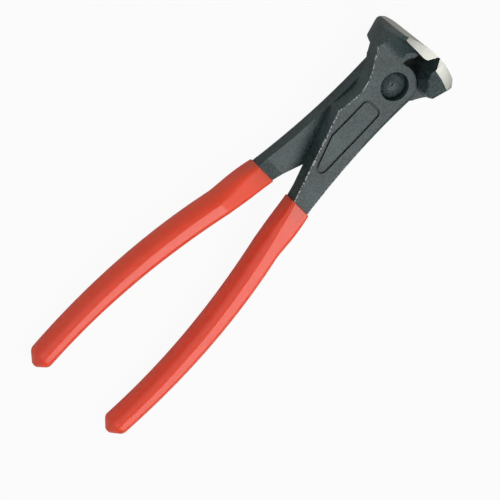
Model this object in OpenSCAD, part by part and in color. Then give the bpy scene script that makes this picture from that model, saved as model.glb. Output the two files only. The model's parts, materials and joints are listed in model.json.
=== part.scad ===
// End cutting nippers: two forged lap-jointed levers on one rivet, with dipped grips.
// The two levers are one forging. The rear one is the front one turned half round the tool's length.
// Lengths in mm. Forms are drawn about the rivet: X to the cutting edges, Z along the rivet.

/* [Overall] */
// Length from the grip ends to the cutting edges
overall_length = 200; // [180:1:220]
// Rivet axis to the cutting edges
edge_reach = 20.2; // [18:0.1:22]
// Space left between the two cutting edges as drawn
edge_gap = 0.8; // [0.4:0.1:1.6]

/* [Lap joint] */
// Thickness of one lever at the lap joint
lap_t = 8.5; // [7:0.1:10]
// Space between the two lap faces
lap_gap = 0.1; // [0.05:0.01:0.2]
// Radius of the round boss about the rivet
boss_r = 9.7; // [9:0.1:10.2]
// Distance from the rivet axis to the outer edge of the arm at the joint
arm_outer = 10; // [9.8:0.1:12]
// Space between a boss and the jaw that passes it
boss_clearance = 0.5; // [0.4:0.1:1]
// How far the square shoulder below the boss reaches towards the jaws
shoulder_x = 2; // [0:0.1:2.2]

/* [Rivet] */
// Diameter of the rivet shank
rivet_d = 8; // [6:0.1:9]
// Diameter of each rivet head
rivet_head_d = 11; // [10:0.1:13]
// Thickness of each rivet head
rivet_head_t = 2.6; // [2:0.1:3.5]
// How far each head lies below the lever face
rivet_sunk = 0.6; // [0.2:0.1:1]
// Rise of the domed head face
rivet_dome = 0.5; // [0.2:0.1:0.6]
// Radial space of the shank in the lever that holds it
hold_clearance = 0.02; // [0.01:0.01:0.03]
// Radial space of the shank in the lever that turns
turn_clearance = 0.05; // [0.02:0.01:0.09]
// Radial and axial space round the heads
head_clearance = 0.15; // [0.1:0.01:0.3]

/* [Jaws] */
// Width of the head along the cutting edges
head_w = 35.6; // [32:0.2:40]
// Distance from the middle plane to the flank of a jaw
jaw_flank = 18.5; // [17:0.1:20]
// Underside of the jaw over the other lever, from the rivet axis
jaw_under = 6.4; // [6:0.1:7.2]
// Slope of the flank where the neck meets it
neck_rise = 1; // [0.6:0.1:1.2]
// Size of the outer top corner cut off each jaw
corner = 7.4; // [6:0.1:9]
// How far that corner stands out from the straight cut
corner_round = 0.75; // [0.2:0.05:1.2]
// Radius of the arched ground face across both jaws
arch_r = 37.5; // [32:0.5:45]
// Radius of the crowned flank along the head, on the side of the lever face
flank_r = 85; // [70:1:120]
// Radius of that flank on the overhanging side
under_flank_r = 38; // [34:1:60]
// Step between the two at the parting line
parting_step = 0.3; // [0.1:0.05:0.6]
// Distance of the parting line below the lap face
parting_drop = 0.45; // [0.3:0.05:1]
// Radius of the rounded jaw ends, seen along the tool
end_r = 54; // [45:1:80]
// Where the ground rim of a jaw end begins, from the rivet axis
rim_x = 15.6; // [15:0.1:16]
// Angle at which the forged end face below that rim leans in
end_lean = 20; // [12:0.5:26]
// Radius of that leaning end face, seen along the tool
lean_r = 100; // [80:1:150]
// Angle at which the overhanging flank leans in towards the neck
flank_lean = 9; // [5:0.5:12]
// Distance from the tool's length to the outer corner of the overhanging end, at its rim
wing_reach = 20.8; // [20:0.1:21.5]
// Direction of that corner from the middle plane, round the tool's length
wing_turn = 30; // [25:1:35]
// Angle at which that corner leans in towards the neck
wing_lean = 16; // [10:0.5:20]
// Angle at which it leans in towards the cutting edge
wing_tip_lean = 40; // [30:1:50]
// Where the corner turns in under the jaw, from the rivet axis
wing_low_x = 7.4; // [7:0.1:9]
// Angle at which it turns in there
wing_low_lean = 68; // [55:1:80]
// Radius of the sweep from the lever face up to the jaw end
flare_r = 9; // [8:0.1:9.4]
// Depth of the inner bevel behind the cutting edge
edge_bevel_h = 4; // [3:0.1:5]
// Width of the inner bevel behind the cutting edge
edge_bevel_w = 2.5; // [2:0.1:3]
// Radius of the hollow behind the cutting edges
hollow_r = 5.1; // [4.8:0.1:5.8]
// Centre of that hollow from the rivet axis
hollow_x = 9.6; // [9:0.1:10.2]

/* [Arms] */
// Where the dipped grip begins, from the rivet axis
grip_start = 60.7; // [56:0.1:66]
// Radius of the waist between jaw and arm
waist_r = 22.5; // [18:0.5:30]
// Distance from the middle plane to the bottom of the waist
waist_y = 8.8; // [8:0.1:9.5]
// Where the waist is deepest, behind the rivet axis
waist_x = 14; // [12:0.1:16]
// Where the inner edge of the arm turns off, behind the rivet axis
arm_turn_x = 23; // [21:0.1:26]
// How far that turn lies outside the bottom of the waist
arm_turn_rise = 1.2; // [0.8:0.1:1.8]
// Angle of the inner edge of the arm to the tool's length
arm_angle = 22; // [20:0.5:24]
// Radius of the hollow sweep along the outer edge of the arm
arm_sweep_r = 300; // [250:1:450]
// Where that sweep begins, behind the rivet axis
arm_sweep_x = 11.5; // [8:0.5:14]
// Radius of the rounded outer edge of the arm
arm_edge_r = 3; // [1:0.1:4]
// Height of the arm face where the grip begins, above the lap face
arm_end_t = 7.2; // [6.4:0.1:8]
// Where the underside of the arm begins to drop, behind the rivet axis
drop_x = 56; // [54:0.1:60]
// Where tang and grip reach their full depth, behind the rivet axis
full_x = 82; // [76:0.5:90]

/* [Grips] */
// Distance from the middle plane to the grip where it is widest apart
grip_spread = 23.8; // [20:0.1:28]
// Where the two grips are widest apart, behind the rivet axis
grip_spread_x = 154; // [140:1:165]
// Radius of the bow of the grips
grip_bow_r = 298; // [260:1:400]
// Depth of the grip, along the rivet
grip_depth = 13.8; // [12:0.1:15]
// Width of the grip where it begins
grip_start_w = 10.8; // [10.5:0.1:13]
// Width of the grip at its full depth
grip_full_w = 11.6; // [10.5:0.1:13]
// Width of the grip near its end
grip_end_w = 9.4; // [9:0.1:11]
// How far the full section of the arm reaches into the grip
arm_inside = 3; // [2:0.5:5]
// Thickness of the dipped coat over the arm where it begins
coat_t = 0.9; // [0.6:0.1:1.5]
// Radius round the blunt end of the grip
grip_end_r = 3.2; // [2:0.1:4]
// Thickness of coat beyond the end of the tang
grip_end_wall = 6; // [4:0.5:8]
// Squareness of the grip section where it begins, 2 for the oval that it turns into
grip_start_power = 5; // [4:0.5:7]
// Width of the flat along the front of the grip where it begins
flat_start_w = 7.6; // [5:0.1:8]
// Width of that flat at the full depth of the grip
flat_full_w = 4.4; // [3:0.1:6]
// Width of that flat at the end of the grip
flat_end_w = 2; // [1:0.1:4]
// Width of the tang inside the grip
tang_w = 5.4; // [4:0.1:6]
// Depth of the tang inside the grip, along the rivet
tang_depth = 8.8; // [7:0.1:9]
// Space between tang and grip
tang_clearance = 0.1; // [0.05:0.05:0.2]

/* [Marking panel] */
// Radius of the panel's rounded corners
panel_r = 2.75; // [2:0.05:3]
// Centres of the corners, from the rivet end round by the inner edge of the arm
panel_corners = [[-13.5, 2.7], [-31, 2.4], [-43, -2.8], [-13.5, -1.7]];
// Width of the groove round the panel
panel_groove_w = 0.8; // [0.5:0.1:1.2]
// Depth of that groove
panel_groove_d = 0.4; // [0.2:0.1:0.8]

/* [Hidden] */
$fn = 96;

reach_back = overall_length - edge_reach;
lap_z = lap_gap / 2;
half_head = head_w / 2;
half_depth = grip_depth / 2;
rivet_r = rivet_d / 2;
head_r = rivet_head_d / 2;
head_top = lap_t - rivet_sunk;
head_seat = head_top - rivet_head_t;
tang_end = reach_back - grip_end_wall;
far = 3 * jaw_flank;
// Overlap that lets one form trim another
lip = 0.6;

// The tool lies on the back ends of its jaws and on the ends of its grips.
rest_x = edge_reach - edge_bevel_h;
rest_back = reach_back - grip_end_r;
lean = atan((half_head - half_depth) / (rest_x + rest_back));
rest_z = half_head * cos(lean) - rest_x * sin(lean);
mid_x = (reach_back * cos(lean) - edge_reach * cos(lean)) / 2;

module lay_down() {
    translate([mid_x, 0, rest_z])
    rotate([0, -lean, 0])
    children();
}

// Turns a front piece into its rear twin.
module turned_over() {
    rotate([180, 0, 0])
    children();
}

// Raises a profile drawn in X and Z into a slab across the tool.
module across() {
    rotate([90, 0, 0])
    linear_extrude(height = 2 * far, center = true)
    children();
}

// Inner edge of the arm, a straight line from the waist across to the grip.
function arm_inner(x) = waist_y + arm_turn_rise + (x + arm_turn_x) * tan(arm_angle);
// Bow of the grip's middle line.
function bow(x) = grip_bow_r - grip_spread - sqrt(pow(grip_bow_r, 2) - pow(x + grip_spread_x, 2));

// Outline of boss, neck and waist on the lap joint. The crowned flank trims its outer side.
module joint_outline() {
    neck_x = jaw_under + flare_r / 2;
    difference() {
        union() {
            circle(r = boss_r);
            polygon([
                [-arm_turn_x, 0], [-arm_sweep_x, -arm_outer], [shoulder_x, -arm_outer], [shoulder_x, 0],
                [boss_r - lip, 0], [boss_r - lip, hollow_r], [neck_x, hollow_r], [neck_x, jaw_flank + lip],
                [jaw_under + neck_rise, jaw_flank + lip], [jaw_under - neck_rise, jaw_flank - neck_rise],
                [jaw_under - 4 * neck_rise, jaw_flank - 3 * neck_rise], [-waist_x, waist_y + waist_r / 3],
                [-arm_turn_x, arm_inner(-arm_turn_x)],
            ]);
        }
        translate([-waist_x, waist_y + waist_r])
        circle(r = waist_r);
    }
}

// Outline of the arm from the joint to a little way inside the grip.
module arm_outline(grow = 0) {
    end = -grip_start - arm_inside - grow;
    difference() {
        polygon([
            [end, -far], [-arm_sweep_x, -far], [-arm_sweep_x, waist_y],
            [-arm_turn_x, arm_inner(-arm_turn_x) + grow], [end, arm_inner(end) + grow],
        ]);
        translate([-arm_sweep_x, -arm_outer - arm_sweep_r])
        circle(r = arm_sweep_r - grow, $fn = 360);
    }
}

// Cutter that rounds the outer edge of the arm along its sweep, a touch shallow so that no face is tangent.
module arm_edge() {
    centre = 0.97 * arm_edge_r;
    translate([-arm_sweep_x, -arm_outer - arm_sweep_r, 0])
    rotate([0, 0, 75])
    rotate_extrude(angle = 30, $fn = 360)
    difference() {
        translate([arm_sweep_r - lip, lap_t - arm_edge_r])
        square([centre + lip, arm_edge_r + lip]);
        translate([arm_sweep_r + centre, lap_t - centre])
        circle(r = arm_edge_r);
    }
}

// Arm and tang seen from the side: flat lap face, then a drop to the full depth of the tang.
module arm_side(grow = 0) {
    polygon([
        [0, lap_z], [-drop_x, lap_z - grow], [-full_x, -tang_depth / 2 - grow],
        [-tang_end - grow, -tang_depth / 2 - grow], [-tang_end - grow, tang_depth / 2 + grow],
        [-full_x, tang_depth / 2 + grow], [-grip_start, arm_end_t + grow],
        [-arm_turn_x, lap_t + grow], [0, lap_t],
    ]);
}

// Bowed strip of the tang.
module tang_outline(grow = 0) {
    intersection() {
        translate([-grip_spread_x, grip_bow_r - grip_spread])
        difference() {
            circle(r = grip_bow_r + tang_w / 2 + grow, $fn = 360);
            circle(r = grip_bow_r - tang_w / 2 - grow, $fn = 360);
        }
        translate([-tang_end - far, -far])
        square([tang_end + far - min(drop_x, grip_start), 2 * far]);
    }
}

// Arm and tang as one bar.
module arm_bar(grow = 0) {
    intersection() {
        linear_extrude(height = 2 * far, center = true)
        union() {
            arm_outline(grow);
            tang_outline(grow);
        }
        across()
        arm_side(grow);
    }
}

// Both halves of a jaw as seen along the rivet. The crowned flank trims its outer side.
module jaw_outline() {
    edge_y = edge_gap / 2;
    intersection() {
        difference() {
            polygon([
                [edge_reach + lip, edge_y], [edge_reach, edge_y],
                [edge_reach - edge_bevel_h, edge_y + edge_bevel_w], [hollow_x, edge_y + edge_bevel_w],
                [jaw_under, boss_r / 2], [jaw_under, jaw_flank - neck_rise / 2],
                [jaw_under + neck_rise, jaw_flank + lip], [edge_reach - corner, jaw_flank + lip],
                [edge_reach - corner / 2 + corner_round, jaw_flank - corner / 2 + corner_round],
                [edge_reach, jaw_flank - corner],
            ]);
            translate([hollow_x, 0])
            circle(r = hollow_r);
        }
        translate([edge_reach - arch_r, 0])
        circle(r = arch_r, $fn = 360);
    }
}

// A jaw seen from the side, swept up from the lever face on its own half.
module jaw_side() {
    tall = half_head + lip;
    difference() {
        polygon([
            [jaw_under, -tall], [edge_reach + lip, -tall],
            [edge_reach + lip, tall], [jaw_under - neck_rise, tall], [jaw_under - neck_rise, lap_z],
            [jaw_under, lap_z],
        ]);
        translate([rim_x - flare_r, half_head])
        circle(r = flare_r);
    }
}

// Rounded ends of the head, seen along the tool.
module head_ends() {
    intersection_for (s = [0, 1])
        mirror([0, 0, s])
        translate([0, 0, half_head - end_r])
        rotate([0, 90, 0])
        cylinder(r = end_r, h = 2 * far, center = true, $fn = 360);
}

// Forged end of the overhanging half, leaning in below its ground rim.
module leaning_end() {
    translate([rim_x, 0, -half_head])
    rotate([0, end_lean, 0])
    translate([0, 0, lean_r])
    rotate([0, 90, 0])
    cylinder(r = lean_r, h = 4 * far, center = true, $fn = 360);
}

// One flat of the wing: all beyond a plane that leans in from a point on the corner.
module wing_flat(x, reach, lean) {
    rotate([-wing_turn, 0, 0])
    translate([x, reach, 0])
    rotate([0, 0, lean])
    translate([-far, 0, -far])
    cube(2 * far);
}

// Outer corner of the overhanging end, deeper towards the neck and the cutting edge.
module wing_cut() {
    wing_flat(rim_x, wing_reach, wing_lean);
    wing_flat(rim_x, wing_reach, -wing_tip_lean);
    wing_flat(wing_low_x, wing_reach - (rim_x - wing_low_x) * tan(wing_lean), wing_low_lean);
}

module jaw() {
    difference() {
        intersection() {
            linear_extrude(height = head_w + 2 * lip, center = true)
            jaw_outline();
            across()
            jaw_side();
            head_ends();
            leaning_end();
        }
        boss_room();
        wing_cut();
    }
}

// Half of the crowned flank along the head, on one side of the die's parting plane.
module crown_half(side, reach, r, lean) {
    intersection() {
        translate([rim_x, reach, 0])
        rotate([0, 0, lean])
        translate([0, -r, 0])
        rotate([0, 90, 0])
        cylinder(r = r, h = 2 * far, center = true, $fn = 360);
        translate([-far, -far, lap_z - parting_drop - (side < 0 ? far : 0)])
        cube([2 * far, 2 * far, far]);
    }
}

// Crowned flank: the overhanging half is rounder and leans in towards the neck.
module crown() {
    crown_half(1, jaw_flank, flank_r, 0);
    crown_half(-1, jaw_flank - parting_step, under_flank_r, flank_lean);
}

// Room in the overhanging half of the jaw for the other lever's boss.
module boss_room() {
    translate([0, 0, -half_head - lip])
    cylinder(r = boss_r + boss_clearance, h = half_head + lip + lap_z);
}

// Outline of the marking panel: round corners joined by bars, a touch narrower so that no edge is tangent.
module panel_shape(r) {
    flat = 0.99 * r;
    polygon(panel_corners);
    for (i = [0 : len(panel_corners) - 1]) {
        run = panel_corners[(i + 1) % len(panel_corners)] - panel_corners[i];
        translate(panel_corners[i])
        rotate(atan2(run[1], run[0])) {
            circle(r = r);
            translate([0, -flat])
            square([norm(run), 2 * flat]);
        }
    }
}

// Groove round the bare marking panel, of one depth below the arm face, which falls towards the grip.
module panel_groove() {
    intersection() {
        linear_extrude(height = 2 * lap_t)
        difference() {
            panel_shape(panel_r);
            panel_shape(panel_r - panel_groove_w);
        }
        across()
        polygon([
            [0, lap_t - panel_groove_d], [-arm_turn_x, lap_t - panel_groove_d],
            [-grip_start, arm_end_t - panel_groove_d], [-grip_start, 3 * lap_t], [0, 3 * lap_t],
        ]);
    }
}

module lever(bore_clearance) {
    difference() {
        union() {
            intersection() {
                union() {
                    jaw();
                    translate([0, 0, lap_z])
                    linear_extrude(height = lap_t - lap_z)
                    joint_outline();
                }
                crown();
            }
            arm_bar();
        }
        arm_edge();
        translate([0, 0, -lap_t])
        cylinder(r = rivet_r + bore_clearance, h = 3 * lap_t);
        translate([0, 0, head_seat - head_clearance])
        cylinder(r = head_r + head_clearance, h = lap_t);
        panel_groove();
    }
}

// Shank with a head at each end, both faces slightly domed.
module pivot_rivet() {
    dome_r = (pow(head_r, 2) + pow(rivet_dome, 2)) / (2 * rivet_dome);
    color("#2c3032")
    lay_down()
    intersection() {
        union() {
            cylinder(r = rivet_r, h = 2 * head_top - rivet_head_t, center = true);
            for (s = [0, 1])
                mirror([0, 0, s])
                translate([0, 0, head_seat])
                cylinder(r = head_r, h = rivet_head_t);
        }
        translate([0, 0, head_top - dome_r])
        sphere(r = dome_r, $fn = 360);
        translate([0, 0, dome_r - head_top])
        sphere(r = dome_r, $fn = 360);
    }
}

// Rings along the grip: up the ramp to its full depth, along the bow and round the blunt end.
ramp_rings = 6;
bow_rings = 20;
long_rings = ramp_rings + bow_rings;
end_rings = 5;
arc_steps = 5;

function ease(t) = t * t * (3 - 2 * t);
function share(x, x0, x1) = max(0, min(1, (x - x0) / (x1 - x0)));
function ramp(x, x0, x1, a, b) = a + (b - a) * share(x, x0, x1);
function blend(x, x0, x1, a, b) = a + (b - a) * ease(share(x, x0, x1));
function end_turn(i) = 90 * share(i, long_rings, long_rings + end_rings);
function ring_x(i) = i < ramp_rings
    ? ramp(i, 0, ramp_rings, grip_start, full_x)
    : ramp(i, ramp_rings, long_rings, full_x, rest_back) + grip_end_r * sin(end_turn(i));
function ring_inset(i) = grip_end_r * (1 - cos(end_turn(i)));
function arm_outer_at(x) = -arm_outer - arm_sweep_r + sqrt(pow(arm_sweep_r, 2) - pow(x + arm_sweep_x, 2));
function start_mid() = (arm_inner(-grip_start) + arm_outer_at(-grip_start)) / 2;
function ring_mid(x) = blend(x, grip_start, full_x, start_mid() - bow(-grip_start), 0) + bow(-x);
function ring_w(x) = x < full_x
    ? blend(x, grip_start, full_x, grip_start_w, grip_full_w)
    : blend(x, full_x, reach_back, grip_full_w, grip_end_w);
function flat_w(x) = x < full_x
    ? ramp(x, grip_start, full_x, flat_start_w, flat_full_w)
    : ramp(x, full_x, reach_back, flat_full_w, flat_end_w);
function ring_top(x) = ramp(x, grip_start, full_x, arm_end_t + coat_t, half_depth);
function ring_bottom(x) = ramp(x, drop_x, full_x, -coat_t, -half_depth);
function ring_power(x) = blend(x, grip_start, full_x, grip_start_power, 2);
function signed_pow(v, p) = sign(v) * pow(abs(v), p);

// One section: a rounded oval, cut off along a flat at the front and at the back.
function ring(i) =
    let (
        x = ring_x(i), inset = ring_inset(i), p = ring_power(x), top = ring_top(x), bottom = ring_bottom(x),
        flat = flat_w(x) / ring_w(x), corner_a = acos(pow(flat, p / 2)),
        level = pow(1 - pow(flat, p), 1 / p),
        quarter = [for (j = [0 : arc_steps]) corner_a * j / arc_steps],
        half = concat(quarter, [for (j = [arc_steps : -1 : 1]) 180 - quarter[j]])
    )
    [
        for (a = concat(half, [for (a = half) a + 180]))
        [
            -x,
            ring_mid(x) + (ring_w(x) / 2 - inset) * signed_pow(cos(a), 2 / p),
            (top + bottom) / 2 + ((top - bottom) / 2 - inset) * signed_pow(sin(a), 2 / p) / level,
        ]
    ];

// Lofts a closed solid through rings of equal count.
module loft(rings) {
    n = len(rings[0]);
    last = len(rings) - 1;
    polyhedron(
        points = [for (r = rings) each r],
        faces = [
            [for (j = [0 : n - 1]) j],
            for (i = [0 : last - 1])
                for (j = [0 : n - 1])
                    let (k = (j + 1) % n)
                    each [
                        [i * n + j, (i + 1) * n + j, i * n + k],
                        [i * n + k, (i + 1) * n + j, (i + 1) * n + k],
                    ],
            [for (j = [n - 1 : -1 : 0]) last * n + j],
        ]
    );
}

module grip() {
    difference() {
        loft([for (i = [0 : long_rings + end_rings]) ring(i)]);
        arm_bar(tang_clearance);
    }
}

module front_lever() {
    color("#565f5f")
    lay_down()
    lever(hold_clearance);
}

module rear_lever() {
    color("#565f5f")
    lay_down()
    turned_over()
    lever(turn_clearance);
}

module front_grip() {
    color("#d8483c")
    lay_down()
    grip();
}

module rear_grip() {
    color("#d8483c")
    lay_down()
    turned_over()
    grip();
}

front_lever();
rear_lever();
pivot_rivet();
front_grip();
rear_grip();
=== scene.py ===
import json
import math

import bmesh
import bpy
from mathutils import Matrix, Vector, kdtree


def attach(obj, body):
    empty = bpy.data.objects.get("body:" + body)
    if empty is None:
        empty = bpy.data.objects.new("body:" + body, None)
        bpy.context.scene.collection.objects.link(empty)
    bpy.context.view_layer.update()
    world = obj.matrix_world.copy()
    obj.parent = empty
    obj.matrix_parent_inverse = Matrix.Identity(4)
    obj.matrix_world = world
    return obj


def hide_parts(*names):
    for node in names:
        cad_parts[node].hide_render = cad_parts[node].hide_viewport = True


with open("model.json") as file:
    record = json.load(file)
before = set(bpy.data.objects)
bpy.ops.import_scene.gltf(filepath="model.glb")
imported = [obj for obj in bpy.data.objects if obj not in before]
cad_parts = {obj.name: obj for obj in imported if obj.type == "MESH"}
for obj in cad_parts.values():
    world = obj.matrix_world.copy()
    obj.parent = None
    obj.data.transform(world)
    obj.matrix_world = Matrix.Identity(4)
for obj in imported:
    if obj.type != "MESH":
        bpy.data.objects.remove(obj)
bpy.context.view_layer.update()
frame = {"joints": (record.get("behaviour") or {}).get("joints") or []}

# Everything below is drawn in millimetres about the rivet: x to the cutting edges, z along the rivet
hinge = frame["joints"][0]
rivetAxis = -Vector(hinge["axis"])
sideAxis = Vector((0, 1, 0))
longAxis = sideAxis.cross(rivetAxis)
toolToRow = Matrix((longAxis, sideAxis, rivetAxis)).transposed().to_4x4()
toolToRow.translation = Vector(hinge["pos_m"])
toolToRow = toolToRow @ Matrix.Scale(0.001, 4)
turnOver = Matrix.Rotation(math.pi, 4, "X")  # the rear half is the front half turned over


def hexColor(text):
    channels = [int(text[i:i + 2], 16) / 255 for i in (1, 3, 5)]
    linear = [c / 12.92 if c <= 0.04045 else ((c + 0.055) / 1.055) ** 2.4 for c in channels]
    return (*linear, 1.0)


def perMm(size):
    return 1000.0 / size  # texture scale for a feature of this size


def addNode(tree, kind, settings=None, links=None):
    node = tree.nodes.new(kind)
    for name, value in (settings or {}).items():
        if isinstance(name, int) or name in node.inputs:
            node.inputs[name].default_value = value
        else:
            setattr(node, name, value)
    for name, source in (links or {}).items():
        tree.links.new(source, node.inputs[name])
    return node


def newMaterial(name):
    material = bpy.data.materials.new(name)
    material.use_nodes = True
    tree = material.node_tree
    tree.nodes.clear()
    output = addNode(tree, "ShaderNodeOutputMaterial")
    shader = addNode(tree, "ShaderNodeBsdfPrincipled")
    tree.links.new(shader.outputs["BSDF"], output.inputs["Surface"])
    place = addNode(tree, "ShaderNodeTexCoord").outputs["Object"]
    return material, tree, shader, place


def newObject(bm, name, materials):
    mesh = bpy.data.meshes.new(name)
    bm.to_mesh(mesh)
    bm.free()
    for material in materials:
        mesh.materials.append(material)
    piece = bpy.data.objects.new(name, mesh)
    bpy.context.scene.collection.objects.link(piece)
    return piece


def smoothSkin(piece, sharpAngle):
    for face in piece.data.polygons:
        face.use_smooth = True
    piece.data.set_sharp_from_angle(angle=math.radians(sharpAngle))


def mountPiece(piece, body, node):
    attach(piece, body)
    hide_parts(node)


# Drop-forged steel under a phosphate coat: matt dark grey with a green cast and a fine crystal grain,
# and crisp edges rubbed back to brighter metal, made bright enough to be a painted highlight as well
forged = {
    "dark": "#131d1e",
    "light": "#435455",
    # painted shade: a near-black coat for the groove floor and the sunk rivet head
    "paintedShade": "#090d0d",
    # bare metal at worn edges, painted brighter to stand in for their highlight
    "wearAndGlint": "#c2c8c6",
    "grain": 0.9,  # coarser than the real crystals so that it shows
    "cloud": 14,
    "cloudShare": 0.35,
    "coat": (0.5, 0.85),  # where the pattern is darkest and lightest
    "roughness": (0.36, 0.5),
    "specular": 0.4,
    "bump": (0.6, 0.00018),  # strength, and height in metres
    "wearGlintEdge": (0.08, 0.22),  # how far the skin bends at an edge
    "wearGlintGrain": (0.44, 0.56),  # the grain breaks up the worn line and its painted highlight
}


def forgedSteel(name, dark, light):
    material, tree, shader, place = newMaterial(name)
    grain = addNode(tree, "ShaderNodeTexNoise",
                    {"Scale": perMm(forged["grain"]), "Detail": 5.0, "Roughness": 0.65},
                    {"Vector": place})
    cloud = addNode(tree, "ShaderNodeTexNoise",
                    {"Scale": perMm(forged["cloud"]), "Detail": 3.0}, {"Vector": place})
    both = addNode(tree, "ShaderNodeMath", {"operation": "MULTIPLY_ADD", 1: forged["cloudShare"]},
                   {0: cloud.outputs["Fac"], 2: grain.outputs["Fac"]})
    coat = addNode(tree, "ShaderNodeValToRGB", links={"Fac": both.outputs["Value"]})
    for i, tone in enumerate((dark, light)):
        coat.color_ramp.elements[i].position = forged["coat"][i]
        coat.color_ramp.elements[i].color = hexColor(forged[tone])
    bend = addNode(tree, "ShaderNodeAttribute", {"attribute_name": "edgeBend"})
    edge = addNode(tree, "ShaderNodeMapRange",
                   {"From Min": forged["wearGlintEdge"][0], "From Max": forged["wearGlintEdge"][1]},
                   {"Value": bend.outputs["Fac"]})
    wearGlintHere = addNode(tree, "ShaderNodeMapRange",
                     {"From Min": forged["wearGlintGrain"][0], "From Max": forged["wearGlintGrain"][1]},
                     {"Value": grain.outputs["Fac"]})
    wearAndGlint = addNode(tree, "ShaderNodeMath", {"operation": "MULTIPLY"},
                   {0: edge.outputs["Result"], 1: wearGlintHere.outputs["Result"]})
    color = addNode(tree, "ShaderNodeMix", {"data_type": "RGBA", 7: hexColor(forged["wearAndGlint"])},
                    {0: wearAndGlint.outputs["Value"], 6: coat.outputs["Color"]})
    rough = addNode(tree, "ShaderNodeMapRange",
                    {"To Min": forged["roughness"][0], "To Max": forged["roughness"][1]},
                    {"Value": grain.outputs["Fac"]})
    bump = addNode(tree, "ShaderNodeBump",
                   {"Strength": forged["bump"][0], "Distance": forged["bump"][1]},
                   {"Height": grain.outputs["Fac"]})
    tree.links.new(color.outputs[2], shader.inputs["Base Color"])
    tree.links.new(rough.outputs["Result"], shader.inputs["Roughness"])
    tree.links.new(bump.outputs["Normal"], shader.inputs["Normal"])
    shader.inputs["Specular IOR Level"].default_value = forged["specular"]
    return material


# Bare steel from the grinding wheel: bright, with fine lines along the cutting edge
ground = {
    "color": "#adaea7",
    "line": 0.35,  # coarser than the real lines so that they show
    "stretch": 0.06,
    "roughness": (0.42, 0.54),
    "bump": (0.15, 0.00005),
}


def groundSteel():
    material, tree, shader, place = newMaterial("groundSteel")
    stretched = addNode(tree, "ShaderNodeMapping", {"Scale": (1, 1, ground["stretch"])},
                        {"Vector": place})
    lines = addNode(tree, "ShaderNodeTexNoise", {"Scale": perMm(ground["line"]), "Detail": 4.0},
                    {"Vector": stretched.outputs["Vector"]})
    rough = addNode(tree, "ShaderNodeMapRange",
                    {"To Min": ground["roughness"][0], "To Max": ground["roughness"][1]},
                    {"Value": lines.outputs["Fac"]})
    bump = addNode(tree, "ShaderNodeBump",
                   {"Strength": ground["bump"][0], "Distance": ground["bump"][1]},
                   {"Height": lines.outputs["Fac"]})
    tree.links.new(rough.outputs["Result"], shader.inputs["Roughness"])
    tree.links.new(bump.outputs["Normal"], shader.inputs["Normal"])
    shader.inputs["Base Color"].default_value = hexColor(ground["color"])
    shader.inputs["Metallic"].default_value = 1.0
    return material


# Dip-moulded vinyl: saturated red with a soft skin gloss and a faint sag of the dip
vinyl = {
    "color": "#ee5230",
    "deep": "#e64c2b",
    "skin": 3.0,
    "bump": (0.08, 0.0002),
    "roughness": 0.4,
    "ior": 1.53,
    "glow": 0.006,  # how far light travels in it, in metres
    "glowShares": (1.0, 0.3, 0.25),  # red light travels furthest
}


def dippedVinyl():
    material, tree, shader, place = newMaterial("dippedVinyl")
    skin = addNode(tree, "ShaderNodeTexNoise", {"Scale": perMm(vinyl["skin"]), "Detail": 2.0},
                   {"Vector": place})
    color = addNode(tree, "ShaderNodeMix",
                    {"data_type": "RGBA", 6: hexColor(vinyl["deep"]), 7: hexColor(vinyl["color"])},
                    {0: skin.outputs["Fac"]})
    bump = addNode(tree, "ShaderNodeBump",
                   {"Strength": vinyl["bump"][0], "Distance": vinyl["bump"][1]},
                   {"Height": skin.outputs["Fac"]})
    tree.links.new(color.outputs[2], shader.inputs["Base Color"])
    tree.links.new(bump.outputs["Normal"], shader.inputs["Normal"])
    shader.inputs["Roughness"].default_value = vinyl["roughness"]
    shader.inputs["IOR"].default_value = vinyl["ior"]
    shader.inputs["Subsurface Weight"].default_value = 1.0
    shader.inputs["Subsurface Radius"].default_value = vinyl["glowShares"]
    shader.inputs["Subsurface Scale"].default_value = vinyl["glow"]
    return material


forgedMaterial = forgedSteel("phosphatedForgedSteel", "dark", "light")
grooveShadeMaterial = forgedSteel("shadedGrooveSteel", "paintedShade", "dark")  # painted shade darkens the bottom of the groove
rivetMaterial = forgedSteel("phosphatedRivetSteel", "paintedShade", "light")  # painted shade: a darker coat for the head sunk in its seat; its edges are not rubbed
leverMaterials = [forgedMaterial, groundSteel(), grooveShadeMaterial]
groundIndex, grooveShadeIndex = 1, 2
vinylMaterial = dippedVinyl()
print("materials made")


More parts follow.
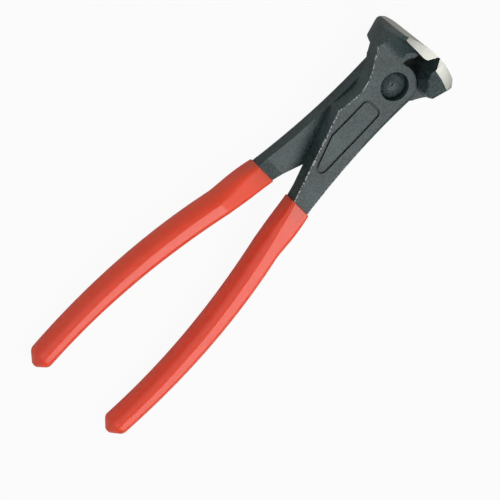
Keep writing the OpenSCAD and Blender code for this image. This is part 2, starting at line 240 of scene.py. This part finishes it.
# Levers: one forging for both, hammered in closed dies and then ground and drilled
lever = {
    "edgeReach": 20.2,  # rivet to the cutting edges
    "edgeHalfGap": 0.4,
    "edgeBevel": (4, 2.5),  # depth and width
    "archRadius": 37.5,
    "archSweep": (40, 120),  # degrees to each side, and steps
    "headHalf": 17.8,
    "endRadius": 54,
    "rimX": 15.6,  # where the ground rim of a jaw end begins
    "endLean": (20, 100),  # forged end below that rim: degrees and radius
    "flareRadius": 9.3,
    "flareSink": 0.02,  # it runs out into the lever face
    "flank": 18.5,
    "flankRadius": 85,
    "underFlank": (18.2, 38, 9),  # the overhanging half is rounder and leans in
    "partingDrop": 0.45,
    "under": 6.4,
    "wing": (20.8, 30, 16),  # outer corner of the overhanging end: distance, direction, lean
    "wingTip": 40,
    "wingLow": (7.4, 68),
    "corner": (7.4, 0.75),  # cut between arch and flank, and its bulge
    "neckRise": 1,
    "hollow": (9.6, 4.75),  # behind the cutting edges: middle and radius
    # outline of the hollow of the jaw above the neck
    "scoop": ((16.2, 2.9), (14.6, 7.2), (12, 7.9), (9.8, 7.4), (8.6, 3)),
    "scoopFloor": 9,
    "flankCorner": 30.8,  # where the flank turns into the end, across and up
    "bossRadius": 9.7,
    "bossRoom": 10.2,
    "bossRoomDraft": (9.5, 14),  # depth below which its wall opens, and degrees
    "lapFace": 0.05,
    "lapThickness": 8.5,
    "shoulderX": 2,
    "waist": (14, 8.8, 22.5),  # inner side: place, across, radius
    "armOuter": 10,
    "armSweep": (11.5, 300),  # outer side: start and radius
    "armTurn": (23, 1.2, 22),  # inner side: place, rise, degrees
    "armEdge": 2,  # rounding
    "armEdgeRun": (86.5, 16),  # degrees about the middle of the sweep: from, and how far
    "armEnd": (60.7, 7.2),  # place and height of the face at the grip
    "drop": (56, 82, 5),  # lap face down to the tang: from, to, depth
    "cutAt": 67,  # hidden inside the grip
    "bore": 4.05,
    "seat": (6.1, 5.0),  # for the rivet head: radius and floor
    "panel": ((-13.5, 2.7), (-31, 2.4), (-43, -2.8), (-13.5, -1.7)),  # corners of the bare panel
    "panelRound": 2.75,
    "panelGroove": (1.1, 0.6),  # width and depth
    "wearGlintFrom": (7, 11.5),  # height, and distance from the rivet, past which edges are rubbed most and painted brightest
    "wearGlintElsewhere": (0.4, 0.25),  # share and limit of the bend that counts at other edges
    "skinReach": 0.02,  # a point this near the forged skin was not cut away
    "voxel": 0.34,
    "soften": (0.5, 5),  # strength and rounds
    "sharpAngle": 32,
    "stock": 0.6,  # left on for the grinding wheel
}
far = 60  # past the end of anything that is cut
spare = 2  # how far a cutter stands out of the steel


def slab(points, upright, low, high):
    # an outline drawn from above, or from the side when upright, raised to a solid
    bm = bmesh.new()
    corners = [bm.verts.new((x, low, y) if upright else (x, y, low)) for x, y in points]
    raised = bmesh.ops.extrude_face_region(bm, geom=[bm.faces.new(corners)])
    lift = high - low
    moved = [part for part in raised["geom"] if isinstance(part, bmesh.types.BMVert)]
    bmesh.ops.translate(bm, verts=moved, vec=(0, lift, 0) if upright else (0, 0, lift))
    bmesh.ops.recalc_face_normals(bm, faces=bm.faces)
    return bm


def drum(centre, axis, radius, length, segments=256):
    bm = bmesh.new()
    turn = Vector((0, 0, 1)).rotation_difference(Vector(axis)).to_matrix().to_4x4()
    bmesh.ops.create_cone(bm, cap_ends=True, segments=segments, radius1=radius, radius2=radius,
                          depth=length, matrix=Matrix.Translation(centre) @ turn)
    return bm


def beyond(place):
    # all that lies above a plane
    bm = bmesh.new()
    bmesh.ops.create_cube(bm, size=2 * far)
    bmesh.ops.translate(bm, verts=bm.verts, vec=(0, 0, far))
    bmesh.ops.transform(bm, matrix=place, verts=bm.verts)
    return bm


def workpiece(bm, name, materialIndex=0):
    for face in bm.faces:
        face.material_index = materialIndex
    return newObject(bm, name, leverMaterials)


def applyModifiers(piece):
    shaped = piece.evaluated_get(bpy.context.evaluated_depsgraph_get())
    done = bpy.data.meshes.new_from_object(shaped)
    before = piece.data
    piece.modifiers.clear()
    piece.data = done
    bpy.data.meshes.remove(before)


def carve(piece, cutter, operation, materialIndex=0):
    made = isinstance(cutter, bpy.types.Object)
    tool = cutter if made else workpiece(cutter, "cutter", materialIndex)
    boolean = piece.modifiers.new("carve", "BOOLEAN")
    boolean.operation = operation
    boolean.solver = "EXACT"
    boolean.object = tool
    applyModifiers(piece)
    used = tool.data
    bpy.data.objects.remove(tool)
    bpy.data.meshes.remove(used)


def jawBlank():
    reach, gap, stock = lever["edgeReach"], lever["edgeHalfGap"], lever["stock"]
    depth, width = lever["edgeBevel"]
    under, rise, flank = lever["under"], lever["neckRise"], lever["flank"]
    corner, bulge = lever["corner"]
    hollowX, hollowRadius = lever["hollow"]
    tall = lever["headHalf"] + stock
    inner = gap + width - stock
    outline = [
        (reach + 2 * stock, gap - stock), (reach, gap - stock), (reach - depth, inner),
        (hollowX, inner), (under, lever["bossRadius"] / 2), (under, flank - rise / 2),
        (under + rise, flank + stock),
        (reach - corner, flank + stock), (reach - corner / 2 + bulge, flank - corner / 2 + bulge),
        (reach + stock, flank - corner),
    ]
    piece = workpiece(slab(outline, False, -tall, tall), "jawBlank")
    carve(piece, drum((hollowX, 0, 0), (0, 0, 1), hollowRadius, 2 * far), "DIFFERENCE")
    side = [
        (under, -tall), (reach + 3 * stock, -tall), (reach + 3 * stock, tall), (under - rise, tall),
        (under - rise, lever["lapFace"]), (under, lever["lapFace"]),
    ]
    carve(piece, slab(side, True, -far, far), "INTERSECT")
    flare = lever["flareRadius"]
    flareZ = lever["lapThickness"] + flare - lever["flareSink"]
    carve(piece, drum((lever["rimX"] - flare, 0, flareZ), (0, 1, 0), flare, 2 * far), "DIFFERENCE")
    angle, radius = lever["endLean"]
    lean = math.radians(angle)
    along = Vector((math.cos(lean), 0, -math.sin(lean)))
    inward = Vector((math.sin(lean), 0, math.cos(lean)))
    rim = Vector((lever["rimX"], 0, -lever["headHalf"]))
    carve(piece, drum(rim + inward * radius, along, radius, 4 * far, 512), "INTERSECT")
    cornerOut = Matrix.Translation((0, 0, lever["flankCorner"] * math.sqrt(0.5)))
    carve(piece, beyond(Matrix.Rotation(math.radians(-45), 4, "X") @ cornerOut), "DIFFERENCE")
    scoop = lever["scoop"]
    scoop = [*scoop, (scoop[-1][0], -far), (scoop[0][0], -far)]
    carve(piece, slab(scoop, False, lever["scoopFloor"], far), "DIFFERENCE")
    draftZ, draft = lever["bossRoomDraft"]
    wide = lever["bossRoom"] + far * math.tan(math.radians(draft))
    room = bmesh.new()
    bmesh.ops.create_cone(room, cap_ends=True, segments=128, radius1=wide, radius2=lever["bossRoom"],
                          depth=far, matrix=Matrix.Translation((0, 0, -draftZ - far / 2)))
    carve(piece, room, "DIFFERENCE")
    wingReach, wingTurn, wingLean = lever["wing"]
    rimX = lever["rimX"]
    lowX, lowLean = lever["wingLow"]
    lowReach = wingReach - (rimX - lowX) * math.tan(math.radians(wingLean))
    roundTool = Matrix.Rotation(math.radians(-wingTurn), 4, "X")
    flats = (
        (rimX, wingReach, wingLean), (rimX, wingReach, -lever["wingTip"]), (lowX, lowReach, lowLean),
    )
    for x, distance, angle in flats:
        lean = Matrix.Rotation(math.radians(angle), 4, "Z") @ Matrix.Rotation(math.radians(-90), 4, "X")
        carve(piece, beyond(roundTool @ Matrix.Translation((x, distance, 0)) @ lean), "DIFFERENCE")
    return piece


def jointBlank():
    under, rise, flank = lever["under"], lever["neckRise"], lever["flank"]
    waistX, waistY, waistRadius = lever["waist"]
    turnX, turnRise = lever["armTurn"][:2]
    neckX = under + lever["flareRadius"] / 2
    shoulderX, outer, hollow = lever["shoulderX"], lever["armOuter"], lever["hollow"][1]
    boss, stock = lever["bossRadius"], lever["stock"]
    low, high = lever["lapFace"] - stock, lever["lapThickness"]
    outline = [
        (-turnX, 0), (-lever["armSweep"][0], -outer), (shoulderX, -outer), (shoulderX, 0),
        (boss - stock, 0), (boss - stock, hollow), (neckX, hollow), (neckX, flank + stock),
        (under + rise, flank + stock), (under - rise, flank - rise),
        (under - 4 * rise, flank - 3 * rise), (-waistX, waistY + waistRadius / 3),
        (-turnX, waistY + turnRise),
    ]
    piece = workpiece(slab(outline, False, low, high), "jointBlank")
    carve(piece, drum((0, 0, (low + high) / 2), (0, 0, 1), boss, high - low), "UNION")
    carve(piece, drum((-waistX, waistY + waistRadius, 0), (0, 0, 1), waistRadius, 2 * far), "DIFFERENCE")
    return piece


def armBlank():
    turnX, turnRise, turnAngle = lever["armTurn"]
    sweepX, sweepRadius = lever["armSweep"]
    waistY = lever["waist"][1]
    endX, endTop = lever["armEnd"]
    dropX, fullX, depth = lever["drop"]
    back = -lever["cutAt"]
    inner = waistY + turnRise + (back + turnX) * math.tan(math.radians(turnAngle))
    outline = [
        (back, -far), (-sweepX, -far), (-sweepX, waistY), (-turnX, waistY + turnRise), (back, inner),
    ]
    piece = workpiece(slab(outline, False, -far, far), "armBlank")
    sweep = drum((-sweepX, -lever["armOuter"] - sweepRadius, 0), (0, 0, 1), sweepRadius, 3 * far, 2048)
    carve(piece, sweep, "DIFFERENCE")
    low = lever["lapFace"] - lever["stock"]
    side = [
        (0, low), (-dropX, low), (-fullX, -depth - lever["stock"]), (-fullX, depth), (-endX, endTop),
        (-turnX, lever["lapThickness"]), (0, lever["lapThickness"]),
    ]
    carve(piece, slab(side, True, -far, far), "INTERSECT")
    return piece


def crownHalf(reach, radius, leanAngle):
    lean = math.radians(leanAngle)
    along = Vector((math.cos(lean), math.sin(lean), 0))
    inward = Vector((math.sin(lean), -math.cos(lean), 0))
    return drum(Vector((lever["rimX"], reach, 0)) + inward * radius, along, radius, 4 * far, 512)


def armRounding():
    # what the die leaves off along the outer edge of the arm
    sweepX, sweepRadius = lever["armSweep"]
    rounding, top = lever["armEdge"], lever["lapThickness"]
    middle = Vector((-sweepX, -lever["armOuter"] - sweepRadius, 0))
    outside, above = sweepRadius - spare, top + spare
    inside, under = sweepRadius + rounding + spare / 2, top - rounding - spare / 2
    corners = [
        (outside, above), (outside, under), (sweepRadius, under), (sweepRadius, top),
        (inside, top), (inside, above),
    ]
    first, swing = (math.radians(a) for a in lever["armEdgeRun"])
    bm = bmesh.new()
    places = [Vector((r * math.cos(first), r * math.sin(first), z)) for r, z in corners]
    points = [bm.verts.new(middle + place) for place in places]
    bm.faces.new(points)
    bmesh.ops.bevel(bm, geom=[points[3]], offset=rounding, affect="VERTICES", segments=8,
                    profile=0.5, material=-1)
    bmesh.ops.spin(bm, geom=bm.faces[:], cent=middle, axis=(0, 0, 1), angle=swing, steps=64)
    bmesh.ops.recalc_face_normals(bm, faces=bm.faces)
    return bm


def forging():
    piece = jawBlank()
    carve(piece, jointBlank(), "UNION")
    crown = workpiece(crownHalf(lever["flank"], lever["flankRadius"], 0), "crown")
    partingZ = lever["lapFace"] - lever["partingDrop"]
    carve(crown, beyond(Matrix.Translation((0, 0, partingZ))), "INTERSECT")
    carve(crown, crownHalf(*lever["underFlank"]), "UNION")
    carve(piece, crown, "INTERSECT")
    carve(piece, armBlank(), "UNION")
    carve(piece, armRounding(), "DIFFERENCE")
    voxels = piece.modifiers.new("dieSkin", "REMESH")
    voxels.mode = "VOXEL"
    voxels.voxel_size = lever["voxel"]
    soft = piece.modifiers.new("dieRounding", "SMOOTH")
    soft.factor, soft.iterations = lever["soften"]
    applyModifiers(piece)
    return piece


def panelPost(radius):
    # round posts at the corners with a skin drawn tight around them
    bm = bmesh.new()
    for x, y in lever["panel"]:
        for z in (0, far):
            bmesh.ops.create_circle(bm, segments=48, radius=radius, matrix=Matrix.Translation((x, y, z)))
    bmesh.ops.convex_hull(bm, input=bm.verts[:])
    inside = [vertex for vertex in bm.verts if not vertex.link_faces]
    bmesh.ops.delete(bm, geom=inside, context="VERTS")
    bmesh.ops.dissolve_limit(bm, angle_limit=math.radians(1), verts=bm.verts[:], edges=bm.edges[:])
    bmesh.ops.recalc_face_normals(bm, faces=bm.faces)
    return bm


def panelGroove():
    width, depth = lever["panelGroove"]
    endX, endTop = lever["armEnd"]
    top, turnX = lever["lapThickness"] - depth, lever["armTurn"][0]
    # painted shade: the groove faces get the near-black groove coat
    groove = workpiece(panelPost(lever["panelRound"]), "panelGroove", grooveShadeIndex)
    carve(groove, panelPost(lever["panelRound"] - width), "DIFFERENCE", grooveShadeIndex)
    above = [(0, top), (-turnX, top), (-endX, endTop - depth), (-endX, far), (0, far)]
    carve(groove, slab(above, True, -far, far), "INTERSECT", grooveShadeIndex)
    return groove


def archOutside():
    # everything beyond the arched face across both jaws
    reach, radius = lever["edgeReach"], lever["archRadius"]
    halfAngle, steps = lever["archSweep"]
    sweep = [math.radians(halfAngle * i / steps) for i in range(-steps, steps + 1)]
    arc = [(reach - radius + radius * math.cos(a), radius * math.sin(a)) for a in sweep]
    return arc + [(reach + far, far), (reach + far, -far)]


def machined(piece):
    reach, gap = lever["edgeReach"], lever["edgeHalfGap"]
    depth, width = lever["edgeBevel"]
    half, endRadius = lever["headHalf"], lever["endRadius"]
    dropX, fullX, tang = lever["drop"]
    lap, under = lever["lapFace"], lever["under"]
    carve(piece, drum((0, 0, lap - far / 2), (0, 0, 1), lever["bossRoom"], far), "DIFFERENCE")
    lapSide = [(under, lap), (-dropX, lap), (-fullX, -tang), (-fullX, -far), (under, -far)]
    carve(piece, slab(lapSide, True, -far, far), "DIFFERENCE")
    back, start = reach - depth, lever["hollow"][0] + spare
    throat = [(back, -far), (back, gap + width), (start, gap + width), (start, -far)]
    carve(piece, slab(throat, False, -far, far), "DIFFERENCE")
    clear = reach + 1.5 * spare
    bevel = [(clear, -far), (clear, gap), (reach, gap), (back, gap + width), (back, -far)]
    carve(piece, slab(bevel, False, -far, far), "DIFFERENCE")
    carve(piece, slab(archOutside(), False, -far, far), "DIFFERENCE", groundIndex)
    for side in (1, -1):
        wheel = drum((0, 0, side * (half - endRadius)), (1, 0, 0), endRadius, 4 * far, 512)
        carve(piece, wheel, "INTERSECT", groundIndex)
    carve(piece, panelGroove(), "DIFFERENCE")
    carve(piece, drum((0, 0, 0), (0, 0, 1), lever["bore"], 2 * far, 96), "DIFFERENCE")
    seatRadius, seatZ = lever["seat"]
    carve(piece, drum((0, 0, seatZ + far / 2), (0, 0, 1), seatRadius, far, 128), "DIFFERENCE")


def finishLever(piece, name, body, pose, node):
    piece.name = name
    piece.data.name = name
    piece.data.transform(toolToRow @ pose)
    smoothSkin(piece, lever["sharpAngle"])
    mountPiece(piece, body, node)


def edgeBends(mesh):
    # place of each skin point, and how far the skin bends outwards there
    bm = bmesh.new()
    bm.from_mesh(mesh)
    bends = []
    for vertex in bm.verts:
        angles = [edge.calc_face_angle_signed(0) for edge in vertex.link_edges]
        bends.append((vertex.co.copy(), sum(angles) / max(1, len(angles))))
    bm.free()
    return bends


def markWearGlint(piece, bends):
    # worn edges, painted bright as a highlight too, stay where the skin was not cut away afterwards
    tree = kdtree.KDTree(len(bends))
    for i, (place, bend) in enumerate(bends):
        tree.insert(place, i)
    tree.balance()
    wear = piece.data.attributes.new("edgeBend", "FLOAT", "POINT")
    height, reach = lever["wearGlintFrom"]
    share, limit = lever["wearGlintElsewhere"]
    for vertex in piece.data.vertices:
        place, i, distance = tree.find(vertex.co)
        bend = bends[i][1]
        wearGlintHere = place.z > height and place.xy.length > reach and place.x < lever["under"]
        if not wearGlintHere:
            bend = share * min(bend, limit)
        wear.data[vertex.index].value = bend if distance < lever["skinReach"] else 0


frontForging = forging()
skinBends = edgeBends(frontForging.data)
machined(frontForging)
markWearGlint(frontForging, skinBends)
rearForging = frontForging.copy()
rearForging.data = frontForging.data.copy()
bpy.context.scene.collection.objects.link(rearForging)
finishLever(frontForging, "frontForging", "front_half", Matrix.Identity(4), "front_lever")
finishLever(rearForging, "rearForging", "rear_half", turnOver, "rear_lever")
print("levers forged and ground")


# Rivet: shank with a domed head at each end, closed with one blow of the riveting tool
rivet = {
    "shank": 4.0,
    "head": 5.9,
    "seat": 5.15,
    "top": 7.6,
    "dome": 2.0,
    "domeSteps": 10,
    "domeInset": 0.09,  # of the dome's foot from the side of the head
    "rim": 0.3,
    "turns": 96,
    "sharpAngle": 40,
    "blow": ((-1.1, 0.7), (2.7, 1.15), 0.6, 0.35),  # scar of the riveting tool: from, to, width, depth
}


def headedRivet():
    bm = bmesh.new()
    shank, head, seat, steps = rivet["shank"], rivet["head"], rivet["seat"], rivet["domeSteps"]
    low = rivet["top"] - rivet["dome"]
    upper = [(shank, 0), (shank, seat), (head, seat), (head, low - rivet["rim"])]
    for i in range(steps + 1):
        radius = (head - rivet["domeInset"]) * (1 - i / steps)
        upper.append((radius, rivet["top"] - rivet["dome"] * (radius / head) ** 2))
    profile = [(r, -z) for r, z in reversed(upper[1:])] + upper
    points = [bm.verts.new((r, 0, z)) for r, z in profile]
    for a, b in zip(points, points[1:]):
        bm.edges.new((a, b))
    bmesh.ops.spin(bm, geom=bm.verts[:] + bm.edges[:], cent=(0, 0, 0), axis=(0, 0, 1),
                   angle=2 * math.pi, steps=rivet["turns"], use_merge=True)
    bmesh.ops.remove_doubles(bm, verts=bm.verts, dist=0.001)
    bmesh.ops.recalc_face_normals(bm, faces=bm.faces)
    piece = workpiece(bm, "jointRivet")
    (x0, y0), (x1, y1), width, depth = rivet["blow"]
    deep = rivet["top"] - depth
    scar = slab([(-0.5, deep + 1), (0, deep), (0.5, deep + 1)], True, 0, 1)  # stretched to size below
    run = Vector((x1 - x0, y1 - y0, 0))
    turn = Matrix.Rotation(math.atan2(run.y, run.x) - math.pi / 2, 4, "Z")
    size = Matrix.Diagonal((width / depth, run.length, 1, 1))
    bmesh.ops.transform(scar, matrix=Matrix.Translation((x0, y0, 0)) @ turn @ size, verts=scar.verts)
    carve(piece, scar, "DIFFERENCE")
    piece.data.materials.clear()
    piece.data.materials.append(rivetMaterial)
    piece.data.transform(toolToRow)
    smoothSkin(piece, rivet["sharpAngle"])
    mountPiece(piece, "front_half", "pivot_rivet")


headedRivet()
print("rivet headed")


# Grips: a dipped sleeve on each tang, oval with a narrow flat along its front and back
grip = {
    "collar": 60.7,  # from the rivet
    "full": 82,
    "end": 179.8,
    "tip": (4.2, 3.2, 1.2),  # how far it closes in at 45 degrees, rounding of its shoulder and nose
    "tipSteps": 5,
    "dropStart": 56,
    "collarWidth": 10.8,
    "fullWidth": 11.6,
    "endWidth": 9.4,
    "halfDepth": 6.9,
    "collarTop": 8.1,
    "collarBottom": -0.9,
    "bow": (298, 23.79, 154),  # radius, furthest from the middle plane, where
    "collarMiddle": -9.65,
    "flats": ((60.7, 3.8), (82, 2.2), (180, 1.0)),  # distance and half width
    "crease": (0.05, 0.5),  # close steps that keep an edge crisp: round a ring, and along the grip
    "sideSteps": 8,
    "collarSquareness": 5,
    "lip": 0.45,
    "lipSteps": 4,
    "mouth": ((6, 2.6), (0, 1.6)),  # how deep inside the collar, and how far in
    "rings": 64,
}


def mixed(x, x0, x1, a, b):
    share = min(1, max(0, (x - x0) / (x1 - x0)))
    return a + (b - a) * share


def eased(x, x0, x1, a, b):
    share = min(1, max(0, (x - x0) / (x1 - x0)))
    return a + (b - a) * share * share * (3 - 2 * share)


def flatAt(x):
    for (x0, a), (x1, b) in zip(grip["flats"], grip["flats"][1:]):
        if x <= x1:
            return mixed(x, x0, x1, a, b)
    return grip["flats"][-1][1]


def bowAt(x):
    radius, spread, spreadX = grip["bow"]
    return radius - spread - math.sqrt(radius ** 2 - (spreadX - x) ** 2)


def sectionAngles(corner):
    steps, crease = grip["sideSteps"], grip["crease"][0]
    side = [corner * i / steps for i in range(steps)] + [corner - crease, corner]
    flat = [corner + crease, math.pi / 2, math.pi - corner - crease]
    upper = side + flat + [math.pi - a for a in reversed(side[1:])]
    return upper + [math.pi + a for a in upper]


def gripSection(x, inset):
    collar, full = grip["collar"], grip["full"]
    width = eased(x, collar, full, grip["collarWidth"], grip["fullWidth"])
    if x > full:
        width = eased(x, full, grip["end"], grip["fullWidth"], grip["endWidth"])
    top = mixed(x, collar, full, grip["collarTop"], grip["halfDepth"])
    bottom = mixed(x, grip["dropStart"], full, grip["collarBottom"], -grip["halfDepth"])
    power = eased(x, collar, full, grip["collarSquareness"], 2)
    middle = bowAt(x) + eased(x, collar, full, grip["collarMiddle"] - bowAt(collar), 0)
    halfWidth = width / 2
    share = flatAt(x) / halfWidth
    corner = math.acos(share ** (power / 2))
    level = (1 - share ** power) ** (1 / power)
    halfDepth, height = (top - bottom) / 2, (top + bottom) / 2
    deepInset = inset * halfDepth / halfWidth if x > full else inset  # the tip closes in evenly
    points = []
    for a in sectionAngles(corner):
        y = math.copysign(abs(math.cos(a)) ** (2 / power), math.cos(a))
        z = math.copysign(min(abs(math.sin(a)) ** (2 / power) / level, 1), math.sin(a))
        across, up = middle + y * (halfWidth - inset), height + z * (halfDepth - deepInset)
        points.append(Vector((-x, across, up)))
    return points


def gripStations():
    # distance from the rivet and inset of each ring
    collar, full, end = grip["collar"], grip["full"], grip["end"]
    inset, shoulder, nose = grip["tip"]
    lip, lipSteps, tipSteps = grip["lip"], grip["lipSteps"], grip["tipSteps"]
    rings, crease = grip["rings"], grip["crease"][1]
    slant = math.sqrt(0.5)
    straight = inset - shoulder * (1 - slant) - nose * slant
    start = end - shoulder * slant - straight - nose * (1 - slant)
    mouth = [(collar + deep, thin) for deep, thin in grip["mouth"]]
    turns = [math.pi / 2 * (1 - i / lipSteps) for i in range(lipSteps + 1)]
    edge = [(collar + lip * (1 - math.sin(a)), lip * (1 - math.cos(a))) for a in turns]
    even = [collar + lip + (start - collar - lip) * i / rings for i in range(1, rings)]
    even = [x for x in even if abs(x - full) > 2 * crease]
    long = [(x, 0) for x in sorted(even + [full - crease, full, full + crease])]
    bends = [math.pi / 4 * i / tipSteps for i in range(tipSteps + 1)]
    tip = [(start + shoulder * math.sin(a), shoulder * (1 - math.cos(a))) for a in bends]
    tip += [(end - nose * (1 - math.cos(a)), inset - nose * math.sin(a)) for a in reversed(bends)]
    return mouth + edge + long + tip


def dippedGrip(name, body, pose, node):
    bm = bmesh.new()
    stations = gripStations()
    first = gripSection(*stations[0])
    ring = [bm.verts.new(p) for p in first]
    edges = [bm.edges.new((a, b)) for a, b in zip(ring, ring[1:] + ring[:1])]
    bm.faces.new(ring)
    for x, inset in stations[1:]:
        grown = bmesh.ops.extrude_edge_only(bm, edges=edges)["geom"]
        edges = [part for part in grown if isinstance(part, bmesh.types.BMEdge)]
        corners = [part for part in grown if isinstance(part, bmesh.types.BMVert)]
        for vertex, place in zip(corners, gripSection(x, inset)):
            vertex.co = place
    bm.faces.new(corners)
    bmesh.ops.recalc_face_normals(bm, faces=bm.faces)
    for face in bm.faces:
        face.smooth = True
    bmesh.ops.transform(bm, matrix=toolToRow @ pose, verts=bm.verts)
    mountPiece(newObject(bm, name, [vinylMaterial]), body, node)


dippedGrip("frontSleeve", "front_half", Matrix.Identity(4), "front_grip")
dippedGrip("rearSleeve", "rear_half", turnOver, "rear_grip")
print("grips dipped")


# Camera at the photograph's viewing angle
view = {
    "side": 1.1,  # degrees, as the next two
    "over": 29.95,
    "roll": 45.2,
    "distance": 1290,
    "aim": (-86.9, -9.18),
    "focalPixels": 3216,
    "imagePixels": 500,
    "sensor": 36,
    "clipEnd": 20,
}


def photoCamera():
    side, over, roll = (math.radians(view[k]) for k in ("side", "over", "roll"))
    back = Vector((math.sin(side), math.cos(side) * math.sin(over), math.cos(side) * math.cos(over)))
    along = (Vector((1, 0, 0)) - back.x * back).normalized()
    across = back.cross(along)
    right = along * math.cos(roll) - across * math.sin(roll)
    up = along * math.sin(roll) + across * math.cos(roll)
    stand = Vector((view["aim"][0], 0, 0)) + across * view["aim"][1] + back * view["distance"]
    turn = toolToRow.to_quaternion()
    camera = bpy.data.objects.new("photoCamera", bpy.data.cameras.new("photoCamera"))
    bpy.context.scene.collection.objects.link(camera)
    camera.matrix_world = Matrix((turn @ right, turn @ up, turn @ back)).transposed().to_4x4()
    camera.matrix_world.translation = toolToRow @ stand
    camera.data.sensor_width = view["sensor"]
    camera.data.lens = view["sensor"] * view["focalPixels"] / view["imagePixels"]
    camera.data.clip_end = view["clipEnd"]
    bpy.context.scene.camera = camera


# Softboxes, floor and room of a plain tabletop studio
light = {
    "key": {"from": (-0.08, -0.42, 0.9), "distance": 0.8, "size": (0.45, 0.5), "power": 3.6},
    "end": {"from": (0.85, -0.1, 0.52), "distance": 1.0, "size": (0.8, 0.8), "power": 3.4},
    "fill": {"from": (-0.4, 0.76, 0.45), "distance": 1.6, "size": (1.6, 1.4), "power": 7.4},
}
studio = {
    "lightAim": (-70, 0, 0),
    "floor": "#b4b4b2",
    "floorHalf": 3,
    # share of plain white that these rays see on the floor
    "floorWhite": {"Is Camera Ray": 0.94, "Is Glossy Ray": 0.15, "Is Transmission Ray": 0.15},
    "room": "#ffffff",
    "roomStrength": 0.26,
}


def softbox(name):
    values = light[name]
    lamp = bpy.data.lights.new(name, "AREA")
    lamp.shape = "RECTANGLE"
    lamp.size, lamp.size_y = values["size"]
    lamp.energy = values["power"]
    box = bpy.data.objects.new(name, lamp)
    bpy.context.scene.collection.objects.link(box)
    aim = toolToRow @ Vector(studio["lightAim"])
    way = Vector(values["from"]).normalized()
    box.location = aim + way * values["distance"]
    box.rotation_euler = way.to_track_quat("Z", "Y").to_euler()


def seenShare(tree):
    rays = addNode(tree, "ShaderNodeLightPath")
    share = None
    for kind, white in studio["floorWhite"].items():
        part = addNode(tree, "ShaderNodeMath", {"operation": "MULTIPLY", 1: white},
                       {0: rays.outputs[kind]})
        if share:
            part = addNode(tree, "ShaderNodeMath", {"operation": "MAXIMUM"},
                           {0: share.outputs["Value"], 1: part.outputs["Value"]})
        share = part
    return share.outputs["Value"]


def paleFloor():
    material = bpy.data.materials.new("paleFloor")
    material.use_nodes = True
    tree = material.node_tree
    tree.nodes.clear()
    output = addNode(tree, "ShaderNodeOutputMaterial")
    matt = addNode(tree, "ShaderNodeBsdfDiffuse", {"Color": hexColor(studio["floor"])})
    white = addNode(tree, "ShaderNodeEmission", {"Strength": 1.0})
    mix = addNode(tree, "ShaderNodeMixShader", links={
        0: seenShare(tree), 1: matt.outputs["BSDF"], 2: white.outputs["Emission"]})
    tree.links.new(mix.outputs["Shader"], output.inputs["Surface"])
    bm = bmesh.new()
    bmesh.ops.create_grid(bm, x_segments=1, y_segments=1, size=studio["floorHalf"])
    floor = newObject(bm, "paleFloor", [material])


def paleRoom():
    world = bpy.data.worlds.new("paleRoom")
    world.use_nodes = True
    tree = world.node_tree
    tree.nodes.clear()
    output = addNode(tree, "ShaderNodeOutputWorld")
    rays = addNode(tree, "ShaderNodeLightPath")
    strength = addNode(tree, "ShaderNodeMapRange", {"To Min": studio["roomStrength"], "To Max": 1.0},
                       {"Value": rays.outputs["Is Camera Ray"]})
    sky = addNode(tree, "ShaderNodeBackground", {"Color": hexColor(studio["room"])},
                  {"Strength": strength.outputs["Result"]})
    tree.links.new(sky.outputs["Background"], output.inputs["Surface"])
    bpy.context.scene.world = world


photoCamera()
for name in light:
    softbox(name)
paleFloor()
paleRoom()
bpy.context.scene.view_settings.view_transform = "Standard"
print("studio lit")
